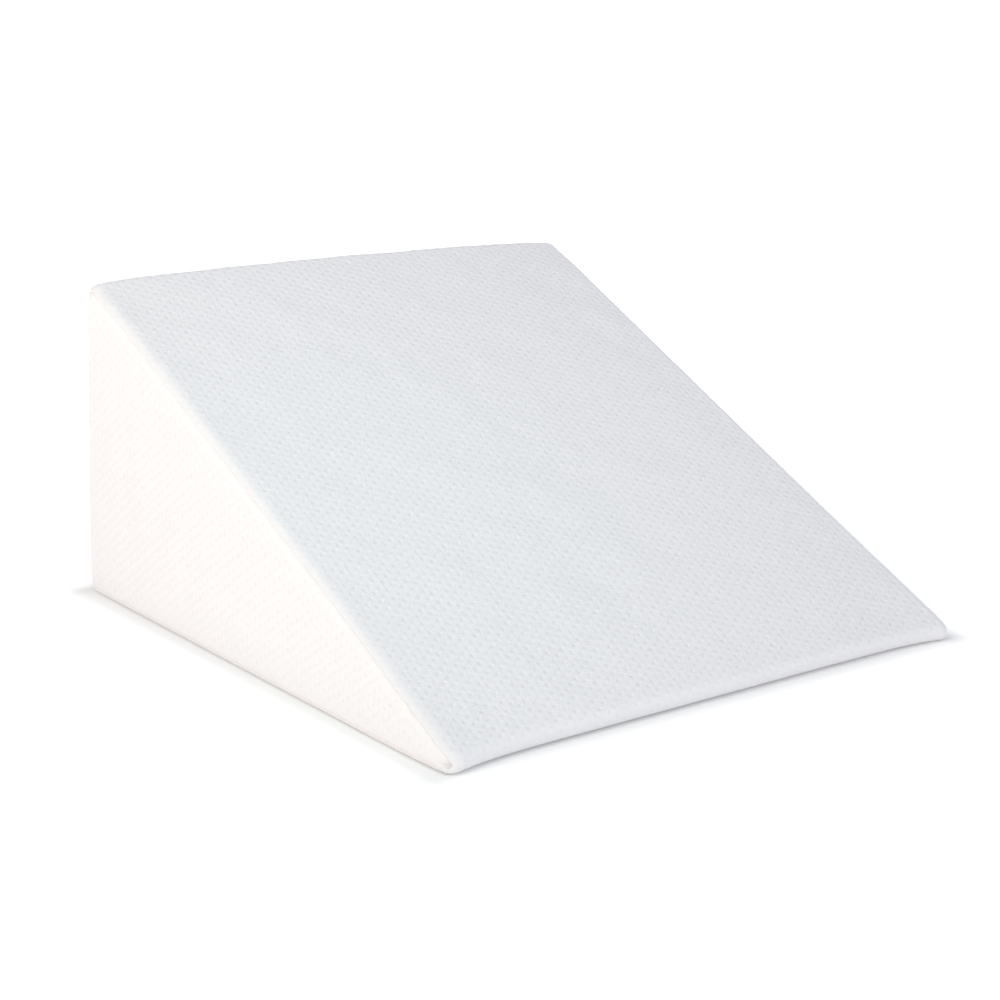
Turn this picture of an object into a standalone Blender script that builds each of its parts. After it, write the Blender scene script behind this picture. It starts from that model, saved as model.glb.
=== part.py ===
"""A wedge pillow: a foam wedge in a knitted cover, lying on its flat base.

X is the width, Y runs from the thin front edge to the tall back, Z is up. The origin is at the
middle of the base. The cover is one long strip, over the slope, the top edge, the back and the
base, with a gusset sewn in at each side. Units are metres.
"""

import math

import bpy
import numpy as np

# Driving dimensions of the pillow, over the cover.
WIDTH = 0.560
LENGTH = 0.610
HEIGHT = 0.305
BACK_LEAN = 0.011  # the top edge stands this far in front of the foot of the back
FOOT_FLARE = 0.001  # the foam spreads this much at each side of its base

# Radii of the foam's long edges under the cover.
NOSE_RADIUS = 0.0085
TOP_RADIUS = 0.012
FOOT_RADIUS = 0.010

# The cover rolls over from the strip to the gussets, and a seam runs round each gusset.
ROLL_WIDTH = 0.011
ROLL_STEPS = 6
GUSSET_CORNER = 0.50  # share of the edge radii that is left in the gusset's outline
SEAM_INSET = 0.0018
SEAM_DEPTH = 0.0012
GUSSET_INSETS = (0.004, 0.009, 0.020, 0.040, 0.065, 0.090)

# What the filling does to the cloth.
TOP_CROWN = 0.0045  # rise of the top edge in the middle of the width
SLOPE_CROWN = 0.0030  # swell of the slope on top of that
BACK_CROWN = 0.0040
GUSSET_CROWN = 0.0030
NOSE_DRAWN_IN = 0.0075  # the front edge between its two corners
NOSE_LIFT = 0.0008  # the front edge's rise off the surface between them
NOSE_CORNER_ROUND = 0.0018  # the two front corners, seen from above
SIDE_DRAWN_IN = 0.0035  # the gussets between their corners, at the slope
LOW_SIDE_DRAWN_IN = 0.0040  # the same again where the wedge gets thin
BASE_PRESSED = 0.55  # share by which the weight flattens the roll at the base's side edges
TOP_DRAWN_IN = 0.0035  # each end of the top edge
TOP_CORNER_DROP = 0.0025  # the two soft upper corners

# How far each of those reaches.
NOSE_REACH = 0.12  # share of the length
NOSE_TIP_REACH = 0.03
TOP_ENDS_REACH = (0.2, 1.0)  # shares of the height, from nothing to all of it
TOP_CORNER_HEIGHT = (0.90, 1.0)
TOP_CORNER_LENGTH = (0.80, 0.95)  # shares of the length
BACK_REACH = (0.030, 0.010)  # distances in front of the foot of the back
TOP_FADE = 0.004  # half the band in which the slope's swell ends, before the top edge
LOW_SIDE_REACH = (0.65, 0.20)  # shares of the length, from nothing to all of it
PRESSED_REACH = 0.009
PRESSED_EDGE = 0.9  # share of the half width where it starts
SIDE_POWER = 8  # a higher power of the place across the width stays closer to the gussets
BETWEEN_POWER = 8
CORNER_POWER = 14
GUSSET_SWELL_POWER = 0.7  # 1 swells to a soft peak, lower is flatter in the middle

# How finely the outline is divided.
STRIP_STEPS = 22
NOSE_POINTS = 10
TOP_POINTS = 9
FOOT_POINTS = 8
BASE_STEPS = 14
SLOPE_STEPS = 22
BACK_STEPS = 11
SMOOTH_ANGLE = math.radians(40)


def edge_circles(share=1.0):
    """Centre and radius of the foam's three long edges in side view, nose, top and foot."""
    nose = (np.array([NOSE_RADIUS - LENGTH / 2, NOSE_RADIUS]), NOSE_RADIUS)
    top_y = LENGTH / 2 - TOP_RADIUS - BACK_LEAN
    top = (np.array([top_y, HEIGHT - TOP_RADIUS]), TOP_RADIUS)
    foot = (np.array([LENGTH / 2 - FOOT_RADIUS, FOOT_RADIUS]), FOOT_RADIUS)
    return [(centre, radius * share) for centre, radius in (nose, top, foot)]


def outward_angle(first, second):
    """Angle of the outward normal of the line that touches two circles, walking clockwise."""
    (a, radius_a), (b, radius_b) = first, second
    along = b - a
    normal = math.atan2(along[1], along[0]) + math.pi / 2
    return normal + math.asin((radius_b - radius_a) / np.linalg.norm(along))


def turned_down(angle, start):
    """The same direction, as the first angle at or below the start."""
    return start - (start - angle) % (2 * math.pi)


def arc(circle, start, end, count):
    centre, radius = circle
    angles = np.linspace(start, end, count)
    return centre + radius * np.stack([np.cos(angles), np.sin(angles)], axis=1)


def between(start, end, steps):
    share = np.linspace(0, 1, steps + 1)[1:-1, None]
    return start + (end - start) * share


def outline(share=1.0):
    """The wedge in side view, clockwise from the nose: points (y, z), the same number each time."""
    nose, top, foot = edge_circles(share)
    slope = outward_angle(nose, top)
    back = turned_down(outward_angle(top, foot), slope)
    base = turned_down(outward_angle(foot, nose), back)
    at_nose = arc(nose, base + 2 * math.pi, slope, NOSE_POINTS)
    at_top = arc(top, slope, back, TOP_POINTS)
    at_foot = arc(foot, back, base, FOOT_POINTS)
    return np.vstack(
        [
            at_nose,
            between(at_nose[-1], at_top[0], SLOPE_STEPS),
            at_top,
            between(at_top[-1], at_foot[0], BACK_STEPS),
            at_foot,
            between(at_foot[-1], at_nose[0], BASE_STEPS),
        ]
    )


def incircle(corners):
    """Centre and radius of the circle inside a triangle."""
    a, b, c = corners
    sides = np.array([np.linalg.norm(b - c), np.linalg.norm(c - a), np.linalg.norm(a - b)])
    centre = (sides[:, None] * np.array([a, b, c])).sum(axis=0) / sides.sum()
    first, second = b - a, c - a
    area = abs(first[0] * second[1] - first[1] * second[0]) / 2
    return centre, 2 * area / sides.sum()


def gusset_swell(ring):
    """How far a gusset stands out at each point: nothing at its seams, and smooth in between."""
    nose, top, foot = (circle[0] for circle in edge_circles())
    product = np.ones(ring.shape[:-1])
    for a, b, opposite in ((nose, top, foot), (top, foot, nose), (foot, nose, top)):
        along = b - a
        normal = np.array([-along[1], along[0]])
        product = product * np.clip((ring - a) @ normal / ((opposite - a) @ normal), 0, 1)
    # The product of the three is a 27th at most.
    return GUSSET_CROWN * (27 * product) ** GUSSET_SWELL_POWER


def gusset_rings():
    """Rings of one side from the strip inwards: (outline, distance out from the strip's edge)."""
    rings = []
    for step in range(ROLL_STEPS + 1):
        turn = math.radians(90) * (1 - step / ROLL_STEPS)
        share = GUSSET_CORNER + (1 - GUSSET_CORNER) * math.sin(turn)
        rings.append((outline(share), ROLL_WIDTH * math.cos(turn)))
    flat, out = rings[-1]
    centre, radius = incircle([circle[0] for circle in edge_circles()])
    rings.append((centre + (flat - centre) * (1 - SEAM_INSET / radius), out - SEAM_DEPTH))
    for inset in GUSSET_INSETS:
        ring = centre + (flat - centre) * (1 - inset / radius)
        rings.append((ring, out + gusset_swell(ring)))
    return rings


def smooth_step(value, low, high):
    t = np.clip((value - low) / (high - low), 0, 1)
    return t * t * (3 - 2 * t)


def filled(points):
    """The points moved as the filling moves the cover. The base stays flat."""
    x, y, z = points.T
    side = np.clip(2 * x / WIDTH, -1, 1)
    across = 1 - side**2
    to_corner = np.clip(np.abs(x) / (WIDTH / 2 - ROLL_WIDTH), 0, 1)
    between_corners = 1 - to_corner**BETWEEN_POWER
    up = z / HEIGHT
    along = np.clip(y / LENGTH + 0.5, 0, 1)
    off_base = smooth_step(z, 0.0, NOSE_RADIUS)
    nose_part = 1 - smooth_step(along, 0.0, NOSE_REACH)

    # The base spreads, and the gussets are drawn in a little along the slope and at the top.
    flare = FOOT_FLARE * (1 - smooth_step(up, 0, 1))
    wall_height = np.clip(HEIGHT * along + NOSE_RADIUS, 0, HEIGHT)
    low_side = smooth_step(-along, *(-share for share in LOW_SIDE_REACH))
    drawn = SIDE_DRAWN_IN * np.sin(math.pi * along) + LOW_SIDE_DRAWN_IN * low_side
    drawn = drawn * np.clip(z / wall_height, 0, 1)
    drawn = drawn + TOP_DRAWN_IN * smooth_step(up, *TOP_ENDS_REACH)
    drawn = drawn + NOSE_CORNER_ROUND * (1 - smooth_step(along, 0.0, NOSE_TIP_REACH))
    new_x = x + np.sign(x) * np.abs(side) ** SIDE_POWER * (flare - drawn)

    # The top edge and the slope swell between the gussets, and the upper corners are soft.
    before_top = LENGTH / 2 - TOP_RADIUS - BACK_LEAN - y
    on_slope = off_base * smooth_step(before_top, -TOP_FADE, TOP_FADE)
    top_corner = smooth_step(up, *TOP_CORNER_HEIGHT) * smooth_step(along, *TOP_CORNER_LENGTH)
    at_side = smooth_step(to_corner, PRESSED_EDGE, 1)
    pressed = BASE_PRESSED * at_side * (1 - nose_part) * np.exp(-((z / PRESSED_REACH) ** 2))
    new_z = z * (1 - pressed) + TOP_CROWN * across * up**2
    new_z = new_z + SLOPE_CROWN * across * np.sin(math.pi * along) * on_slope
    new_z = new_z + NOSE_LIFT * between_corners * nose_part**3
    new_z = new_z - TOP_CORNER_DROP * np.abs(side) ** CORNER_POWER * top_corner

    # The back swells, and the front edge is drawn in between its corners.
    behind, in_front = BACK_REACH
    on_back = off_base * smooth_step(y, LENGTH / 2 - behind, LENGTH / 2 - in_front)
    new_y = y + BACK_CROWN * across * np.sin(math.pi * np.clip(up, 0, 1)) * on_back
    new_y = new_y + NOSE_DRAWN_IN * between_corners * nose_part
    return np.stack([new_x, new_y, new_z], axis=1)


def at_width(ring, x):
    """A ring of the side view as points in space. x is one number, or one for each point."""
    return np.column_stack([x + np.zeros(len(ring)), ring])


def cushion_shape():
    """Points and faces of the filled cushion, one ring after another along X and closed at the ends."""
    strip_edge = WIDTH / 2 - ROLL_WIDTH
    side = [(ring, strip_edge + out) for ring, out in gusset_rings()]
    rings = [at_width(ring, -x) for ring, x in reversed(side[1:])]
    full = outline()
    rings += [at_width(full, x) for x in np.linspace(-strip_edge, strip_edge, STRIP_STEPS + 1)]
    rings += [at_width(ring, x) for ring, x in side[1:]]
    count = len(full)
    left_middle = rings[0].mean(axis=0)
    right_middle = rings[-1].mean(axis=0)
    points = filled(np.vstack([*rings, left_middle, right_middle]))
    points[:, 1] -= (points[:, 1].min() + points[:, 1].max()) / 2
    faces = []
    for ring in range(len(rings) - 1):
        for k in range(count):
            here, there = ring * count + k, ring * count + (k + 1) % count
            faces.append((here, here + count, there + count, there))
    left, right = len(points) - 2, len(points) - 1
    last = (len(rings) - 1) * count
    for k in range(count):
        following = (k + 1) % count
        faces.append((left, k, following))
        faces.append((right, last + following, last + k))
    return points, faces


def cover_material():
    material = bpy.data.materials.new("knit_cover")
    material.use_nodes = True
    shader = material.node_tree.nodes["Principled BSDF"]
    shader.inputs["Base Color"].default_value = (0.86, 0.87, 0.89, 1)
    shader.inputs["Roughness"].default_value = 0.9
    shader.inputs["Metallic"].default_value = 0
    return material


def wedge_pillow():
    points, faces = cushion_shape()
    mesh = bpy.data.meshes.new("wedge_pillow")
    mesh.from_pydata(points.tolist(), [], faces)
    mesh.validate()
    mesh.materials.append(cover_material())
    mesh.shade_smooth()
    mesh.set_sharp_from_angle(angle=SMOOTH_ANGLE)
    cushion = bpy.data.objects.new("wedge_pillow", mesh)
    bpy.context.scene.collection.objects.link(cushion)
    return cushion


def main():
    for old in list(bpy.data.objects):
        bpy.data.objects.remove(old)
    wedge_pillow()


main()
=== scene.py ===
"""A wedge pillow, dressed: the knitted cover over its foam, on a plain pale floor.

The cover is one long strip and two gussets. Each is a fine mesh that carries the jacquard's
dimples as real relief, and the knit's loops are in the material, which also paints shade into
the dimples and hollows and a highlight on the raised grains. Units are metres.
"""

import math

import bpy
import numpy as np
from mathutils import Euler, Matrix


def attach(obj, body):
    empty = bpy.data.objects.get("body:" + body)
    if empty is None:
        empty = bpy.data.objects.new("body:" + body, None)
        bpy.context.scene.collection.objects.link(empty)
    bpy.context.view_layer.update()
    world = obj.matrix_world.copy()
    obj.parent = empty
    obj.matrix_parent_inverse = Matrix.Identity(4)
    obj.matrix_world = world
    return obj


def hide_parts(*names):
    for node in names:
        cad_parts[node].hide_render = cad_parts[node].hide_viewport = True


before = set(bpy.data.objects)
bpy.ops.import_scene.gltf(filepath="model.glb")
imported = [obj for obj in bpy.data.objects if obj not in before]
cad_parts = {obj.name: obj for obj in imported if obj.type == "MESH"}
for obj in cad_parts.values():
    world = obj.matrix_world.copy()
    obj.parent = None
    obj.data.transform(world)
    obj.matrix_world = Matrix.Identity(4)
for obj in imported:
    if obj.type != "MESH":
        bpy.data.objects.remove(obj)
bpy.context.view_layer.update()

# Driving dimensions of the pillow, over the cover, as in the frame's own solid.
WIDTH = 0.560
LENGTH = 0.610
HEIGHT = 0.305
BACK_LEAN = 0.011
FOOT_FLARE = 0.001

NOSE_RADIUS = 0.0085
TOP_RADIUS = 0.012
FOOT_RADIUS = 0.010
ROLL_WIDTH = 0.011
GUSSET_CORNER = 0.50

TOP_CROWN = 0.0045
SLOPE_CROWN = 0.0030
BACK_CROWN = 0.0040
GUSSET_CROWN = 0.0030
NOSE_DRAWN_IN = 0.0075
NOSE_LIFT = 0.0008
NOSE_CORNER_ROUND = 0.0018  # the two front corners, seen from above
SIDE_DRAWN_IN = 0.0035
LOW_SIDE_DRAWN_IN = 0.0040
BASE_PRESSED = 0.55
TOP_DRAWN_IN = 0.0035
TOP_CORNER_DROP = 0.0025

# How far each of those reaches.
NOSE_REACH = 0.12  # share of the length
NOSE_TIP_REACH = 0.03
TOP_ENDS_REACH = (0.2, 1.0)  # shares of the height, from nothing to all of it
TOP_CORNER_HEIGHT = (0.90, 1.0)
TOP_CORNER_LENGTH = (0.80, 0.95)  # shares of the length
BACK_REACH = (0.030, 0.010)  # distances in front of the foot of the back
TOP_FADE = 0.004
LOW_SIDE_REACH = (0.65, 0.20)  # shares of the length, from nothing to all of it
PRESSED_REACH = 0.009
PRESSED_EDGE = 0.9
SIDE_POWER = 8
BETWEEN_POWER = 8
CORNER_POWER = 14
GUSSET_SWELL_POWER = 0.7

# The seam round each gusset, where the two cloths dive between each other.
SEAM_WIDTH = 0.0019
SEAM_DEPTH = 0.0016
SEAM_STEEPNESS = 3
FLANGE = 0.003  # how far each cloth goes in behind the seam
FLANGE_CROSSING = 0.0006
STITCH_PITCH = 0.0042
STITCH_DEPTH = 0.0002
TUCK_DEPTHS = (0.0090, 0.0045, 0.0030)  # at the nose, the top and the foot
TUCK_RADIUS = 0.0022
PUCKER_DEPTH = 0.00022
PUCKER_LENGTH = 0.012  # how far the gathers run from the seam
PUCKER_WIDTH = 0.013
PUCKER_STRETCH = 0.3  # how fast they change away from the seam, against along it

# The jacquard's relief: dimples in upright columns, each column half a row off the next.
COLUMN_PITCH = 0.00738
COLUMN_SPREAD = 0.00045  # how much wider the columns stand at the right edge than at the left
ROW_PITCH = 0.0100
ROW_SPREAD = 0.0005  # how much longer the rows are at the top than at the front
DIMPLE_RADIUS = 0.0019
DIMPLE_DEPTH = 0.00031

# How strong the relief is where the knit turns or is pulled tight, and where it is whole again.
NOSE_RELIEF = 0.45
NOSE_RELIEF_REACH = (-0.014, 0.006)  # from where the slope starts
BASE_RELIEF = 0.5
BASE_RELIEF_REACH = (-0.005, 0.0)  # from where the base starts, and weaker after it
ROLL_RELIEF = 0.35
ROLL_RELIEF_REACH = (0.006, 0.024)  # from the seam
GUSSET_RELIEF = (0.20, 0.62)  # at the seam, and inside it
GUSSET_RELIEF_REACH = (0.002, 0.012)
FLOOR_RELIEF = 0.25
FLOOR_RELIEF_REACH = (0.001, 0.010)  # above the floor

# Irregularity, as waves: their heights and lengths.
WAVE_COUNT = 14
WAVE_SPREAD = (0.6, 1.6)  # the longest and the shortest, in turns for each length
WOBBLE = 0.0004
WOBBLE_LENGTHS = (0.035, 0.030)  # across and along the cloth
UNEVEN_DIMPLES = ((0.22, 0.012), (0.10, 0.060))  # these heights are shares of the dimples' depth
STRIP_WAVES = ((0.00035, 0.110), (0.00012, 0.040))
GUSSET_WAVES = ((0.0003, 0.090),)
WAVE_RISE = 0.03  # distance from the seam at which the waves have their whole height
STRIP_SEEDS = {"wobble": 11, "dimples": 13, "waves": 31, "puckers": 33}
GUSSET_SEEDS = {"wobble": 51, "dimples": 53, "waves": 61, "puckers": 71}  # each gusset adds its side to them

# The knit's material, on the same repeat as the dimples, with painted shade in the pits, the hollows and the
# ground and a painted highlight on the raised grains.
KNIT_SURFACE = {
    "Roughness": 0.88,
    "Specular IOR Level": 0.25,
    "Sheen Weight": 0.05,
    "Sheen Roughness": 0.5,
}
# the yarn's colour, which the raised grains keep as a painted highlight
YARN_AND_HIGHLIGHT_COLOUR = (0.930, 0.936, 0.945, 1)
# painted shade colour for the pits, the hollows between the puffs and the ground
PAINTED_SHADE_COLOUR = (0.780, 0.780, 0.798, 1)
PIT_PAINTED_SHADE = 0.38  # how far the painted shade in a pit goes from yarn colour to the painted shade colour
# painted shade in the hollows between the puffs
PUFF_GAP_PAINTED_SHADE = 0.35
GROUND_PAINTED_SHADE = 0.30  # painted shade on the ground between the raised grains: how far it goes from yarn colour to the painted shade colour, while the grains keep the yarn colour as a painted highlight
PIT_PLACE = (0.0, 0.0)  # from its dimple, across and along
PIT_HALF = (0.0026, 0.0030)
PIT_DEPTH = 0.00022
GRAIN_PLACE = (0.0044, 0.0010)
GRAIN_HALF = (0.0027, 0.0015)
GRAIN_HEIGHT = 0.00027
UNEVEN_SIZE = 0.009
UNEVEN_MEAN = 0.5
PUFF_SIZE = 0.0029
PUFF_RANDOM = 0.9
PUFF_DEPTH = 0.00034
KNIT_WALE = 0.00125
KNIT_COURSE = 0.00095
LOOP_LEAN = 1.3
LOOP_STITCH = 0.5  # height of the stitches against that of the wales
LOOP_DEPTH = 0.00005

# How finely the cloth is divided.
ACROSS_STEP = 0.0015
STRIP_STEPS = {
    "nose": 0.0014,
    "slope": 0.00167,
    "top": 0.0014,
    "back": 0.0020,
    "foot": 0.0014,
    "base": 0.0050,
}
ROLL_STEPS = 10
FEWEST_POINTS = 6
GUSSET_LOOP_STEP = 0.0019
GUSSET_RING_STEP = 0.0018
GUSSET_CORNER_POINTS = 8
QUICK_COARSER = 1.0

# The pale floor has a faint glow, which is painted light: brighter away from the pillow, and weaker close to
# it as a painted contact shadow.
FLOOR_SURFACE = {
    "Base Color": (0.80, 0.80, 0.80, 1),
    "Roughness": 0.9,
    "Specular IOR Level": 0.1,
    "Emission Color": (1, 1, 1, 1),
}
FLOOR_SIZE = 600
FLOOR_BELOW = 0.0002  # keeps the floor clear of the flat base
FLOOR_GLOW = (0.42, 0.66)  # painted glow, by the pillow and far from it
GLOW_REACH = (0.06, 1.0)  # distances from the pillow
CONTACT_SHADOW_GLOW = 0.13  # painted contact shadow: the glow right at the pillow
CONTACT_SHADOW_REACH = 0.028  # where the painted contact shadow ends and the glow has come up to the one by the pillow
CONTACT_SHADOW_LEFT = 0.006  # the painted contact shadow reaches further out on the side that the window lights

# Studio light: a cool surround, a large warm window at the left and a small cool lamp near the slope.
SURROUND = 0.594
SURROUND_COLOUR = (0.974, 0.966, 1.034, 1)
SURROUND_TILT = (-0.20, -0.30, 0.20)  # how much brighter it is towards each axis
LAMPS = {
    "window_left": {
        "place": (-2.6, -0.4, 1.6),
        "size": (1.6, 1.6),
        "watts": 22.5,
        "colour": (1.0, 0.77, 0.49),
    },
    "lamp_near": {
        "place": (-0.35, -0.40, 0.85),
        "size": (0.4, 0.4),
        "watts": 0.95,
        "colour": (0.78, 1.26, 1.28),
    },
}

# The photograph's camera.
CAMERA_PLACE = (-1.085, -1.4560, 0.5715)
CAMERA_YAW = math.radians(36.54)
CAMERA_PITCH = math.radians(14.229)
CAMERA_SIGHT = 1000
FOCAL_PIXELS = 2008
PICTURE_PIXELS = 1000
SENSOR_MM = 36


def edge_circles(share=1.0):
    """Centre and radius of the foam's three long edges in side view, nose, top and foot."""
    nose = (np.array([NOSE_RADIUS - LENGTH / 2, NOSE_RADIUS]), NOSE_RADIUS)
    top_y = LENGTH / 2 - TOP_RADIUS - BACK_LEAN
    top = (np.array([top_y, HEIGHT - TOP_RADIUS]), TOP_RADIUS)
    foot = (np.array([LENGTH / 2 - FOOT_RADIUS, FOOT_RADIUS]), FOOT_RADIUS)
    return [(centre, radius * share) for centre, radius in (nose, top, foot)]


def outward_angle(first, second):
    """Angle of the outward normal of the line that touches two circles, walking clockwise."""
    (a, radius_a), (b, radius_b) = first, second
    along = b - a
    normal = math.atan2(along[1], along[0]) + math.pi / 2
    return normal + math.asin((radius_b - radius_a) / np.linalg.norm(along))


def turned_down(angle, start):
    """The same direction, as the first angle at or below the start."""
    return start - (start - angle) % (2 * math.pi)


def arc(circle, start, end, count):
    centre, radius = circle
    angles = np.linspace(start, end, count)
    return centre + radius * np.stack([np.cos(angles), np.sin(angles)], axis=1)


def between(start, end, steps):
    share = np.linspace(0, 1, steps + 1)[1:-1, None]
    return start + (end - start) * share


def outline(share, counts):
    """The wedge in side view, clockwise from the nose: points (y, z) and the first index of each stretch.

    counts has how many points each stretch gets, by its name.
    """
    nose, top, foot = edge_circles(share)
    slope = outward_angle(nose, top)
    back = turned_down(outward_angle(top, foot), slope)
    base = turned_down(outward_angle(foot, nose), back)
    at_nose = arc(nose, base + 2 * math.pi, slope, counts["nose"])
    at_top = arc(top, slope, back, counts["top"])
    at_foot = arc(foot, back, base, counts["foot"])
    stretches = {
        "nose": at_nose,
        "slope": between(at_nose[-1], at_top[0], counts["slope"]),
        "top": at_top,
        "back": between(at_top[-1], at_foot[0], counts["back"]),
        "foot": at_foot,
        "base": between(at_foot[-1], at_nose[0], counts["base"]),
    }
    starts, total = {}, 0
    for name, points in stretches.items():
        starts[name] = total
        total += len(points)
    return np.vstack(list(stretches.values())), starts


def stretch_lengths():
    """Length of each stretch of the outline, near enough to divide it evenly."""
    slope = math.hypot(LENGTH, HEIGHT)
    turn = math.atan2(HEIGHT, LENGTH)
    return {
        "nose": NOSE_RADIUS * (math.pi - turn),
        "slope": slope,
        "top": TOP_RADIUS * (math.pi / 2 + turn),
        "back": HEIGHT,
        "foot": FOOT_RADIUS * math.pi / 2,
        "base": LENGTH,
    }


def divided(steps):
    """Points of each stretch, for a step length of each."""
    lengths = stretch_lengths()
    counts = {name: round(lengths[name] / (step * QUICK_COARSER)) for name, step in steps.items()}
    return {name: max(FEWEST_POINTS, count) for name, count in counts.items()}


def incircle():
    """Centre and radius of the circle inside the gusset."""
    a, b, c = (circle[0] for circle in edge_circles())
    sides = np.array([np.linalg.norm(b - c), np.linalg.norm(c - a), np.linalg.norm(a - b)])
    centre = (sides[:, None] * np.array([a, b, c])).sum(axis=0) / sides.sum()
    area = abs((b - a)[0] * (c - a)[1] - (b - a)[1] * (c - a)[0]) / 2
    return centre, 2 * area / sides.sum()


def smooth_step(value, low, high):
    t = np.clip((value - low) / (high - low), 0, 1)
    return t * t * (3 - 2 * t)


def eased(value, reach, start, end=1.0):
    """Goes smoothly from start to end as the value goes over this reach."""
    return start + (end - start) * smooth_step(value, *reach)


def filled(points):
    """The points moved as the filling moves the cover. The base stays flat."""
    x, y, z = np.moveaxis(points, -1, 0)
    side = np.clip(2 * x / WIDTH, -1, 1)
    across = 1 - side**2
    to_corner = np.clip(np.abs(x) / (WIDTH / 2 - ROLL_WIDTH), 0, 1)
    between_corners = 1 - to_corner**BETWEEN_POWER
    up = z / HEIGHT
    along = np.clip(y / LENGTH + 0.5, 0, 1)
    off_base = smooth_step(z, 0.0, NOSE_RADIUS)
    nose_part = 1 - smooth_step(along, 0.0, NOSE_REACH)

    # The base spreads, and the gussets are drawn in a little along the slope and at the top.
    flare = FOOT_FLARE * (1 - smooth_step(up, 0, 1))
    wall_height = np.clip(HEIGHT * along + NOSE_RADIUS, 0, HEIGHT)
    low_side = smooth_step(-along, *(-share for share in LOW_SIDE_REACH))
    drawn = SIDE_DRAWN_IN * np.sin(math.pi * along) + LOW_SIDE_DRAWN_IN * low_side
    drawn = drawn * np.clip(z / wall_height, 0, 1)
    drawn = drawn + TOP_DRAWN_IN * smooth_step(up, *TOP_ENDS_REACH)
    drawn = drawn + NOSE_CORNER_ROUND * (1 - smooth_step(along, 0.0, NOSE_TIP_REACH))
    new_x = x + np.sign(x) * np.abs(side) ** SIDE_POWER * (flare - drawn)

    # The top edge and the slope swell between the gussets, and the upper corners are soft.
    before_top = LENGTH / 2 - TOP_RADIUS - BACK_LEAN - y
    on_slope = off_base * smooth_step(before_top, -TOP_FADE, TOP_FADE)
    top_corner = smooth_step(up, *TOP_CORNER_HEIGHT) * smooth_step(along, *TOP_CORNER_LENGTH)
    # The base's side edges are pressed flat by the weight.
    at_side = smooth_step(to_corner, PRESSED_EDGE, 1)
    pressed = BASE_PRESSED * at_side * (1 - nose_part) * np.exp(-((z / PRESSED_REACH) ** 2))
    new_z = z * (1 - pressed) + TOP_CROWN * across * up**2
    new_z = new_z + SLOPE_CROWN * across * np.sin(math.pi * along) * on_slope
    new_z = new_z + NOSE_LIFT * between_corners * nose_part**3
    new_z = new_z - TOP_CORNER_DROP * np.abs(side) ** CORNER_POWER * top_corner

    # The back swells, and the front edge is drawn in between its corners.
    behind, in_front = BACK_REACH
    on_back = off_base * smooth_step(y, LENGTH / 2 - behind, LENGTH / 2 - in_front)
    new_y = y + BACK_CROWN * across * np.sin(math.pi * np.clip(up, 0, 1)) * on_back
    new_y = new_y + NOSE_DRAWN_IN * between_corners * nose_part
    return np.stack([new_x, new_y, new_z], axis=-1)


def waves(u, v, length, seed):
    """Smooth, even irregularity between about -1 and 1, the same one each time."""
    dice = np.random.default_rng(seed)
    total = np.zeros_like(u)
    for _ in range(WAVE_COUNT):
        heading = dice.uniform(0, 2 * math.pi)
        turns = dice.uniform(*WAVE_SPREAD) / length
        phase = dice.uniform(0, 2 * math.pi)
        total += np.sin(2 * math.pi * turns * (u * math.cos(heading) + v * math.sin(heading)) + phase)
    return total / math.sqrt(WAVE_COUNT)


def layered_waves(u, v, layers, seed):
    """Waves of these heights and lengths over each other, each from the next seed."""
    total = np.zeros_like(u)
    for step, (height, length) in enumerate(layers):
        total += height * waves(u, v, length, seed + step)
    return total


def woven(u, v, seed):
    """Panel coordinates of the weave, in metres: the knit stretched a little here and there."""
    length_u, length_v = WOBBLE_LENGTHS
    wobble_u = WOBBLE * waves(u, v, length_u, seed)
    wobble_v = WOBBLE * waves(u, v, length_v, seed + 1)
    across = (u + wobble_u) / (1 + COLUMN_SPREAD / COLUMN_PITCH * u / WIDTH)
    along = (v + wobble_v) / (1 + ROW_SPREAD / ROW_PITCH * (v / LENGTH - 0.5))
    return across, along


def jacquard(across, along, seed):
    """How far the cloth dips at each point of the weave, from 0 between the dimples to 1 in them."""
    column = across / COLUMN_PITCH
    row = along / ROW_PITCH
    pit = np.zeros_like(column)
    nearest = np.round(column)
    for step in (-1, 0, 1):
        this_column = nearest + step
        shift = 0.5 * np.mod(this_column, 2)
        this_row = np.round(row - shift) + shift
        away_u = (column - this_column) * COLUMN_PITCH
        away_v = (row - this_row) * ROW_PITCH
        pit += np.exp(-(away_u**2 + away_v**2) / (2 * DIMPLE_RADIUS**2))
    return pit * (1 + layered_waves(across, along, UNEVEN_DIMPLES, seed))


def grid_normals(points):
    """Outward unit normals of a grid of points whose second direction closes on itself."""
    first = np.gradient(points, axis=0)
    second = (np.roll(points, -1, axis=1) - np.roll(points, 1, axis=1)) / 2
    normal = np.cross(first, second)
    length = np.linalg.norm(normal, axis=-1, keepdims=True)
    return normal / np.maximum(length, 1e-12)


def flanged_normals(points, at_start, at_end):
    """Grid normals that leave out the flanges hidden behind a seam, which then take their neighbours'."""
    shown = grid_normals(points[at_start : len(points) - at_end])
    return np.concatenate([shown[:1]] * at_start + [shown] + [shown[-1:]] * at_end)


def lengthwise(ring):
    """Length along a closed outline at each point."""
    steps = np.linalg.norm(np.diff(ring, axis=0), axis=1)
    return np.concatenate([[0], np.cumsum(steps)])


def seam_dip(to_seam, around):
    """How deep the cloth goes at a distance from the seam, with the pull of each stitch."""
    groove = np.exp(-((to_seam / SEAM_WIDTH) ** 2) * SEAM_STEEPNESS)
    stitch = 0.5 + 0.5 * np.cos(2 * math.pi * around / STITCH_PITCH)
    return groove * (SEAM_DEPTH + STITCH_DEPTH * stitch)


def puckers(to_seam, around, seed):
    """Small gathers that run away from the seam and die out."""
    fading = PUCKER_DEPTH * np.exp(-to_seam / PUCKER_LENGTH)
    return fading * waves(around, to_seam * PUCKER_STRETCH, PUCKER_WIDTH, seed)


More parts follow.
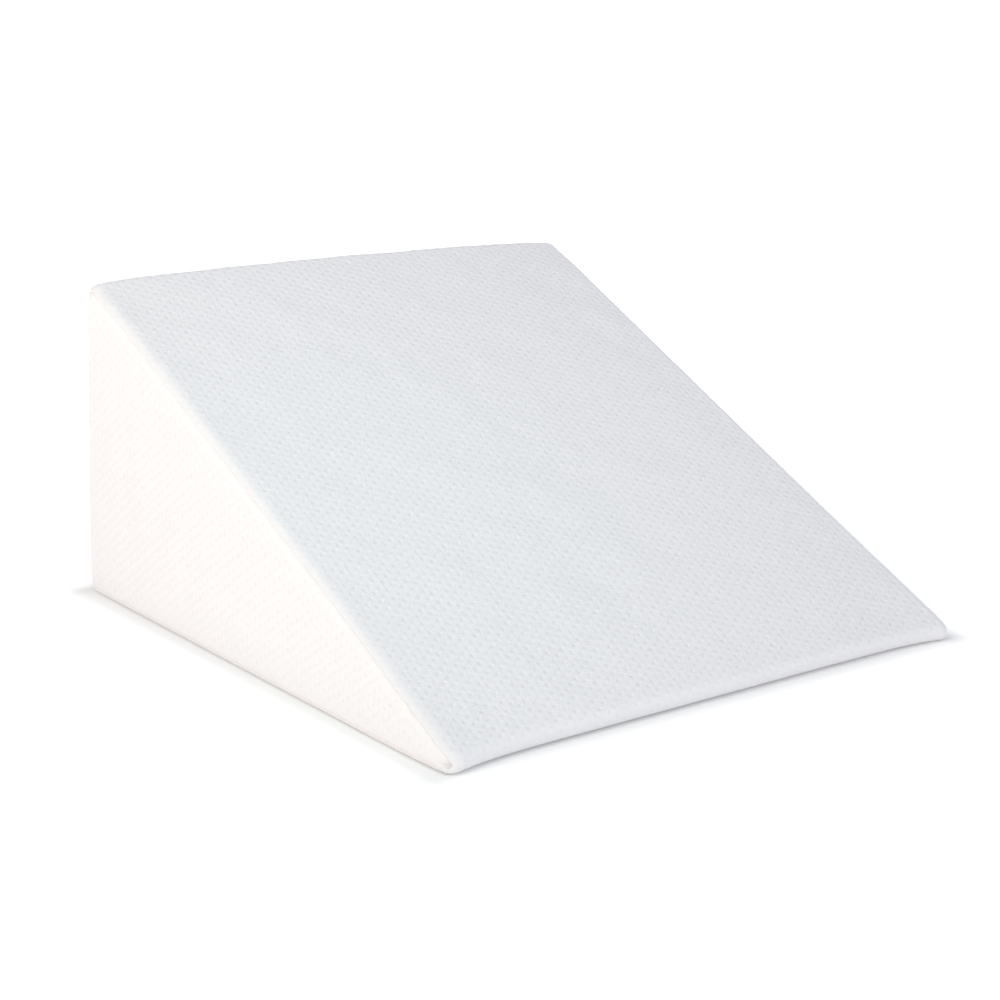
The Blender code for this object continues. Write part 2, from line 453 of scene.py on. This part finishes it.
def tucks(points):
    """How deep the cloth is pulled in at the gussets' corners."""
    centre, _ = incircle()
    depth = np.zeros(points.shape[:-1])
    for (middle, radius), deepest in zip(edge_circles(GUSSET_CORNER), TUCK_DEPTHS):
        out = (middle - centre) / np.linalg.norm(middle - centre)
        corner = middle + radius * out
        for side in (-1, 1):
            place = filled(np.array([[side * WIDTH / 2, *corner]]))[0]
            away = np.linalg.norm(points - place, axis=-1)
            depth += deepest * np.exp(-((away / TUCK_RADIUS) ** 2))
    return depth


def cloth_surface(panel, to_seam, around, relief, layers, seeds):
    """Weave coordinates of each point, and how far it stands out for the waves, dimples and gathers."""
    across, along = woven(*panel, seeds["wobble"])
    height = layered_waves(*panel, layers, seeds["waves"]) * smooth_step(to_seam, 0.0, WAVE_RISE)
    height = height - DIMPLE_DEPTH * jacquard(across, along, seeds["dimples"]) * relief
    return across, along, height + puckers(to_seam, around, seeds["puckers"])


def dressed(points, height, flanges, weave):
    """The points moved along their normals, never below the floor, with new normals and weave values."""
    points = points + flanged_normals(points, *flanges) * height[..., None]
    points[..., 2] = np.maximum(points[..., 2], 0.0)
    return np.concatenate([points, flanged_normals(points, *flanges), np.stack(weave, axis=-1)], axis=-1)


def cloth_piece(name, values, quads, material, fan=None):
    """A mesh object with its own smooth normals, weave coordinates and strength of relief, which also scales
    the knit's painted shade and highlight.

    values has a row for each point: its place, normal, weave coordinates and relief. fan has triangles.
    """
    points, normals, uv, relief = values[:, :3], values[:, 3:6], values[:, 6:8], values[:, 8]
    fan = np.empty((0, 3), int) if fan is None else fan
    corners = np.concatenate([quads.ravel(), fan.ravel()]).astype(np.int32)
    starts = [np.arange(len(quads)) * 4, len(quads) * 4 + np.arange(len(fan)) * 3]
    mesh = bpy.data.meshes.new(name)
    mesh.vertices.add(len(points))
    mesh.vertices.foreach_set("co", points.astype(np.float32).ravel())
    mesh.loops.add(len(corners))
    mesh.loops.foreach_set("vertex_index", corners)
    mesh.polygons.add(len(quads) + len(fan))
    mesh.polygons.foreach_set("loop_start", np.concatenate(starts).astype(np.int32))
    layer = mesh.uv_layers.new(name="panel")
    layer.data.foreach_set("uv", uv[corners].astype(np.float32).ravel())
    strength = mesh.attributes.new("relief", "FLOAT", "POINT")
    strength.data.foreach_set("value", relief.astype(np.float32))
    mesh.update(calc_edges=True)
    mesh.shade_smooth()
    mesh.normals_split_custom_set_from_vertices(normals.astype(np.float32))
    mesh.materials.append(material)
    piece = bpy.data.objects.new(name, mesh)
    bpy.context.scene.collection.objects.link(piece)
    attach(piece, "root")
    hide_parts("wedge_pillow")
    return piece


def take_grid(grid, rows, columns):
    """The part of a grid of per-point values for these first and second indices, as a flat list."""
    return grid[np.ix_(rows, columns)].reshape(len(rows) * len(columns), -1)


def grid_faces(rows, columns):
    here = np.arange(rows - 1)[:, None] * columns + np.arange(columns - 1)[None]
    here = here.ravel()
    return np.stack([here, here + columns, here + columns + 1, here + 1], axis=1)


def strip_rings():
    """Side-view outline share, X and length across the cloth, from the left seam to the right one."""
    strip_edge = WIDTH / 2 - ROLL_WIDTH
    roll = []
    for step in range(1, ROLL_STEPS + 1):
        turn = math.pi / 2 * (1 - step / ROLL_STEPS)
        share = GUSSET_CORNER + (1 - GUSSET_CORNER) * math.sin(turn)
        x = strip_edge + ROLL_WIDTH * math.cos(turn)
        u = strip_edge + ROLL_WIDTH * (math.pi / 2 - turn)
        roll.append((share, x, u))
    share, x, u = roll[-1]
    flange = (share - FLANGE_CROSSING / TOP_RADIUS, x - FLANGE, u + FLANGE)
    roll.append(flange)
    left = [(share, -x, -u) for share, x, u in reversed(roll)]
    steps = round(2 * strip_edge / (ACROSS_STEP * QUICK_COARSER))
    middle = [(1.0, x, x) for x in np.linspace(-strip_edge, strip_edge, steps + 1)]
    return left + middle + roll


def make_strip(material):
    """The long piece of cloth, in four objects that share the points along their borders."""
    counts = divided(STRIP_STEPS)
    rings = strip_rings()
    shapes = {share: outline(share, counts) for share in {ring[0] for ring in rings}}
    full, starts = shapes[1.0]
    around = lengthwise(full)
    sections = [np.column_stack([np.full(len(full), x), shapes[share][0]]) for share, x, _ in rings]
    points = filled(np.array(sections))
    u, v = np.meshgrid([ring[2] for ring in rings], around, indexing="ij")
    to_seam = np.maximum(np.abs(u).max() - FLANGE - np.abs(u), 0)

    # The knit lies smoother where it turns over the nose, under the base and on the rolls.
    relief = eased(v - around[starts["slope"]], NOSE_RELIEF_REACH, NOSE_RELIEF)
    relief = relief * eased(v - around[starts["base"]], BASE_RELIEF_REACH, 1.0, BASE_RELIEF)
    relief = relief * eased(to_seam, ROLL_RELIEF_REACH, ROLL_RELIEF)
    across, along, height = cloth_surface((u, v), to_seam, v, relief, STRIP_WAVES, STRIP_SEEDS)
    # The floor presses it smooth.
    height = height * eased(points[..., 2], FLOOR_RELIEF_REACH, FLOOR_RELIEF)
    height = height - seam_dip(to_seam, v) - tucks(points)
    values = dressed(points, height, (1, 1), (across, along, relief))

    middle = (starts["slope"] + starts["top"]) // 2
    spans = {
        "cover_slope_front": np.arange(0, middle + 1),
        "cover_slope_top": np.arange(middle, starts["back"] + 1),
        "cover_back": np.arange(starts["back"], starts["base"] + 1),
        "cover_base": np.arange(starts["base"], len(full) + 1) % len(full),
    }
    rows = np.arange(len(rings))
    for name, columns in spans.items():
        part = take_grid(values, rows, columns)
        cloth_piece(name, part, grid_faces(len(rows), len(columns)), material)


def gusset_swell(ring):
    """How far a gusset stands out at each point: nothing at its seams, and smooth in between."""
    nose, top, foot = (circle[0] for circle in edge_circles())
    product = np.ones(ring.shape[:-1])
    for a, b, opposite in ((nose, top, foot), (top, foot, nose), (foot, nose, top)):
        along = b - a
        normal = np.array([-along[1], along[0]])
        product = product * np.clip((ring - a) @ normal / ((opposite - a) @ normal), 0, 1)
    # The product of the three is a 27th at most.
    return GUSSET_CROWN * (27 * product) ** GUSSET_SWELL_POWER


def make_gusset(name, side, material):
    """A side panel, ring by ring from its seam to the middle. side is -1 at the left, 1 at the right."""
    counts = divided({stretch: GUSSET_LOOP_STEP for stretch in ("slope", "back", "base")})
    counts.update({stretch: GUSSET_CORNER_POINTS for stretch in ("nose", "top", "foot")})
    flat, _ = outline(GUSSET_CORNER, counts)
    centre, radius = incircle()
    ring_steps = round(radius / (GUSSET_RING_STEP * QUICK_COARSER))
    inset = np.concatenate([[-FLANGE_CROSSING], np.linspace(0, radius - GUSSET_RING_STEP, ring_steps)])
    shape = centre + (flat - centre)[None] * (1 - inset / radius)[:, None, None]
    behind = np.where(inset < 0, FLANGE, 0)[:, None]
    x = side * (WIDTH / 2 - behind + gusset_swell(shape))
    # The left one is a mirror copy, so its loop runs the other way round.
    points = filled(np.concatenate([x[..., None], shape], axis=-1))[:, ::side]
    panel = (shape[:, ::side, 0], shape[:, ::side, 1])
    to_seam, around = np.meshgrid(np.maximum(inset, 0), lengthwise(flat)[::side], indexing="ij")

    relief = eased(to_seam, GUSSET_RELIEF_REACH, *GUSSET_RELIEF)
    seeds = {use: seed + side for use, seed in GUSSET_SEEDS.items()}
    across, along, height = cloth_surface(panel, to_seam, around, relief, GUSSET_WAVES, seeds)
    height = height - seam_dip(to_seam, around) - tucks(points)
    values = dressed(points, height, (1, 0), (across, along, relief))

    rows = np.arange(len(inset))
    columns = np.arange(len(flat) + 1) % len(flat)
    part = take_grid(values, rows, columns)
    inner = (len(rows) - 1) * len(columns) + np.arange(len(columns))
    part = np.vstack([part, part[inner].mean(axis=0)])
    middle = np.full(len(columns) - 1, len(part) - 1)
    fan = np.stack([inner[1:], inner[:-1], middle], axis=1)
    cloth_piece(name, part, grid_faces(len(rows), len(columns)), material, fan)


def new_material(name):
    material = bpy.data.materials.new(name)
    material.use_nodes = True
    return material, material.node_tree


def set_inputs(node, values):
    for name, value in values.items():
        node.inputs[name].default_value = value


def maths(tree, operation, first, second=None):
    """Result of a maths node, whose inputs are numbers or the results of other nodes."""
    node = tree.nodes.new("ShaderNodeMath")
    node.operation = operation
    for socket, value in zip(node.inputs, (first, second)):
        if value is None:
            continue
        if isinstance(value, (int, float)):
            socket.default_value = value
        else:
            tree.links.new(value, socket)
    return node.outputs[0]


def knit_loops(tree, u, v):
    """Height of the knit's loops: upright wales of leaning stitches, like small v shapes."""
    wale = maths(tree, "DIVIDE", u, KNIT_WALE)
    course = maths(tree, "DIVIDE", v, KNIT_COURSE)
    inside = maths(tree, "PINGPONG", wale, 0.5)
    lean = maths(tree, "MULTIPLY", inside, LOOP_LEAN)
    climb = maths(tree, "ADD", course, lean)
    turn = maths(tree, "MULTIPLY", climb, 2 * math.pi)
    stitch = maths(tree, "SINE", turn)
    width = maths(tree, "MULTIPLY", inside, 2 * math.pi)
    rib = maths(tree, "SINE", width)
    loop = maths(tree, "MULTIPLY", stitch, rib)
    return maths(tree, "ADD", maths(tree, "MULTIPLY", loop, LOOP_STITCH), rib)


def lattice(tree, u, v, place, halves):
    """A soft spot for each repeat, 1 at this place from its dimple. Columns are half a row apart."""
    u = maths(tree, "SUBTRACT", u, place[0])
    v = maths(tree, "SUBTRACT", v, place[1])
    column = maths(tree, "DIVIDE", u, COLUMN_PITCH)
    nearest = maths(tree, "ROUND", column)
    odd = maths(tree, "FLOORED_MODULO", nearest, 2)
    shift = maths(tree, "MULTIPLY", odd, 0.5)
    row = maths(tree, "SUBTRACT", maths(tree, "DIVIDE", v, ROW_PITCH), shift)
    off_column = maths(tree, "SUBTRACT", column, nearest)
    off_row = maths(tree, "SUBTRACT", row, maths(tree, "ROUND", row))
    squares = []
    for off, pitch, half in ((off_column, COLUMN_PITCH, halves[0]), (off_row, ROW_PITCH, halves[1])):
        away = maths(tree, "MULTIPLY", off, pitch / half)
        squares.append(maths(tree, "MULTIPLY", away, away))
    total = maths(tree, "ADD", *squares)
    inside = maths(tree, "MAXIMUM", maths(tree, "SUBTRACT", 1.0, total), 0.0)
    return maths(tree, "MULTIPLY", inside, inside)


def knit_material():
    """White knitted jacquard: matt loops and puffy stitches, with painted shade darker down in the dimples
    and between the puffs and a painted highlight on the raised grains.
    """
    material, tree = new_material("knit_cover")
    nodes, links = tree.nodes, tree.links
    shader = nodes["Principled BSDF"]
    set_inputs(shader, KNIT_SURFACE)
    place = nodes.new("ShaderNodeUVMap")
    place.uv_map = "panel"
    apart = nodes.new("ShaderNodeSeparateXYZ")
    links.new(place.outputs["UV"], apart.inputs[0])
    u, v = apart.outputs[0], apart.outputs[1]
    relief = nodes.new("ShaderNodeAttribute")
    relief.attribute_name = "relief"
    # No two dimples are quite alike.
    uneven = nodes.new("ShaderNodeTexNoise")
    set_inputs(uneven, {"Scale": 1 / UNEVEN_SIZE, "Detail": 1})
    links.new(place.outputs["UV"], uneven.inputs["Vector"])
    strength = maths(tree, "MULTIPLY", uneven.outputs["Fac"], 1 / UNEVEN_MEAN)
    # The relief strength scales the bumps and also the painted shade and highlight in the colour.
    strength = maths(tree, "MULTIPLY", strength, relief.outputs["Fac"])
    pits = maths(tree, "MULTIPLY", lattice(tree, u, v, PIT_PLACE, PIT_HALF), strength)
    grains = maths(tree, "MULTIPLY", lattice(tree, u, v, GRAIN_PLACE, GRAIN_HALF), strength)
    # Puffs of yarn between the dimples.
    puffs = nodes.new("ShaderNodeTexVoronoi")
    set_inputs(puffs, {"Scale": 1 / PUFF_SIZE, "Randomness": PUFF_RANDOM})
    links.new(place.outputs["UV"], puffs.inputs["Vector"])
    hollow = maths(tree, "MULTIPLY", puffs.outputs["Distance"], relief.outputs["Fac"])
    # Painted shade and highlight: the raised grains keep the yarn's colour as a painted highlight, and the
    # pits, the hollows between the puffs and the ground go towards the painted shade colour.
    colour = nodes.new("ShaderNodeMix")
    colour.data_type = "RGBA"
    colour.inputs["A"].default_value = YARN_AND_HIGHLIGHT_COLOUR
    colour.inputs["B"].default_value = PAINTED_SHADE_COLOUR
    low = maths(tree, "MULTIPLY", pits, PIT_PAINTED_SHADE)
    gap_painted_shade = maths(tree, "MULTIPLY", hollow, PUFF_GAP_PAINTED_SHADE)
    painted_shade = maths(tree, "ADD", maths(tree, "ADD", low, gap_painted_shade), GROUND_PAINTED_SHADE)
    painted_shade = maths(tree, "SUBTRACT", painted_shade, maths(tree, "MULTIPLY", grains, GROUND_PAINTED_SHADE))
    links.new(painted_shade, colour.inputs["Factor"])
    links.new(colour.outputs["Result"], shader.inputs["Base Color"])
    depth = maths(tree, "MULTIPLY", pits, -PIT_DEPTH)
    depth = maths(tree, "SUBTRACT", depth, maths(tree, "MULTIPLY", hollow, PUFF_DEPTH))
    depth = maths(tree, "ADD", depth, maths(tree, "MULTIPLY", grains, GRAIN_HEIGHT))
    loops = maths(tree, "MULTIPLY", knit_loops(tree, u, v), LOOP_DEPTH)
    bump = nodes.new("ShaderNodeBump")
    set_inputs(bump, {"Strength": 1.0, "Distance": 1.0})
    links.new(maths(tree, "ADD", depth, loops), bump.inputs["Height"])
    links.new(bump.outputs["Normal"], shader.inputs["Normal"])
    return material


def glow_part(tree, distance, reach, glow):
    """The glow that goes from the first strength to the second over this reach."""
    node = tree.nodes.new("ShaderNodeMapRange")
    node.interpolation_type = "SMOOTHSTEP"
    tree.links.new(distance, node.inputs["Value"])
    node.inputs["From Min"].default_value, node.inputs["From Max"].default_value = reach
    node.inputs["To Min"].default_value, node.inputs["To Max"].default_value = glow
    return node.outputs["Result"]


def make_floor():
    """A pale floor with a faint painted glow, which is weaker close to the pillow as a painted contact
    shadow.
    """
    material, tree = new_material("pale_floor")
    shader = tree.nodes["Principled BSDF"]
    set_inputs(shader, FLOOR_SURFACE)
    place = tree.nodes.new("ShaderNodeTexCoord")
    apart = tree.nodes.new("ShaderNodeSeparateXYZ")
    tree.links.new(place.outputs["Object"], apart.inputs[0])
    # The painted contact shadow follows the pillow, which touches the floor behind its rounded front edge.
    along = maths(tree, "SUBTRACT", apart.outputs[1], NOSE_RADIUS / 2)
    across = maths(tree, "ADD", apart.outputs[0], CONTACT_SHADOW_LEFT / 2)
    halves = ((WIDTH + CONTACT_SHADOW_LEFT) / 2, (LENGTH - NOSE_RADIUS) / 2)
    squares = []
    for out, half in zip((across, along), halves):
        outside = maths(tree, "SUBTRACT", maths(tree, "ABSOLUTE", out), half)
        outside = maths(tree, "MAXIMUM", outside, 0.0)
        squares.append(maths(tree, "MULTIPLY", outside, outside))
    distance = maths(tree, "SQRT", maths(tree, "ADD", *squares))
    # Painted contact shadow: the glow is weakest right at the pillow and comes up over a short reach.
    near = glow_part(tree, distance, (0.0, CONTACT_SHADOW_REACH), (CONTACT_SHADOW_GLOW, FLOOR_GLOW[0]))
    far = glow_part(tree, distance, GLOW_REACH, (0.0, FLOOR_GLOW[1] - FLOOR_GLOW[0]))
    tree.links.new(maths(tree, "ADD", near, far), shader.inputs["Emission Strength"])
    bpy.ops.mesh.primitive_plane_add(size=FLOOR_SIZE, location=(0, 0, -FLOOR_BELOW))
    floor = bpy.context.object
    floor.name = "floor"
    floor.data.materials.append(material)


def make_lamp(name, place, size, watts, colour):
    """A rectangular lamp that faces the middle of the pillow."""
    light = bpy.data.lights.new(name, "AREA")
    light.color = colour
    light.shape = "RECTANGLE"
    light.size, light.size_y = size
    light.energy = watts
    lamp = bpy.data.objects.new(name, light)
    lamp.location = place
    aim = lamp.location.copy()
    aim.z -= HEIGHT / 2
    lamp.rotation_euler = aim.to_track_quat("Z", "Y").to_euler()
    bpy.context.scene.collection.objects.link(lamp)


def make_light():
    world = bpy.data.worlds.new("surround")
    bpy.context.scene.world = world
    world.use_nodes = True
    tree = world.node_tree
    background = tree.nodes["Background"]
    background.inputs["Color"].default_value = SURROUND_COLOUR
    direction = tree.nodes.new("ShaderNodeTexCoord")
    tilt = tree.nodes.new("ShaderNodeVectorMath")
    tilt.operation = "DOT_PRODUCT"
    tilt.inputs[1].default_value = SURROUND_TILT
    tree.links.new(direction.outputs["Generated"], tilt.inputs[0])
    brighter = maths(tree, "ADD", tilt.outputs["Value"], 1.0)
    tree.links.new(maths(tree, "MULTIPLY", brighter, SURROUND), background.inputs["Strength"])
    for name, lamp in LAMPS.items():
        make_lamp(name, **lamp)
    bpy.context.scene.view_settings.view_transform = "Standard"


def make_camera():
    camera = bpy.data.cameras.new("camera")
    camera.sensor_width = SENSOR_MM
    camera.lens = FOCAL_PIXELS / PICTURE_PIXELS * SENSOR_MM
    camera.clip_end = CAMERA_SIGHT
    eye = bpy.data.objects.new("camera", camera)
    eye.location = CAMERA_PLACE
    eye.rotation_euler = Euler((math.pi / 2 - CAMERA_PITCH, 0, -CAMERA_YAW))
    bpy.context.scene.collection.objects.link(eye)
    bpy.context.scene.camera = eye


knit = knit_material()
make_strip(knit)
make_gusset("gusset_left", -1, knit)
make_gusset("gusset_right", 1, knit)
make_floor()
make_light()
make_camera()
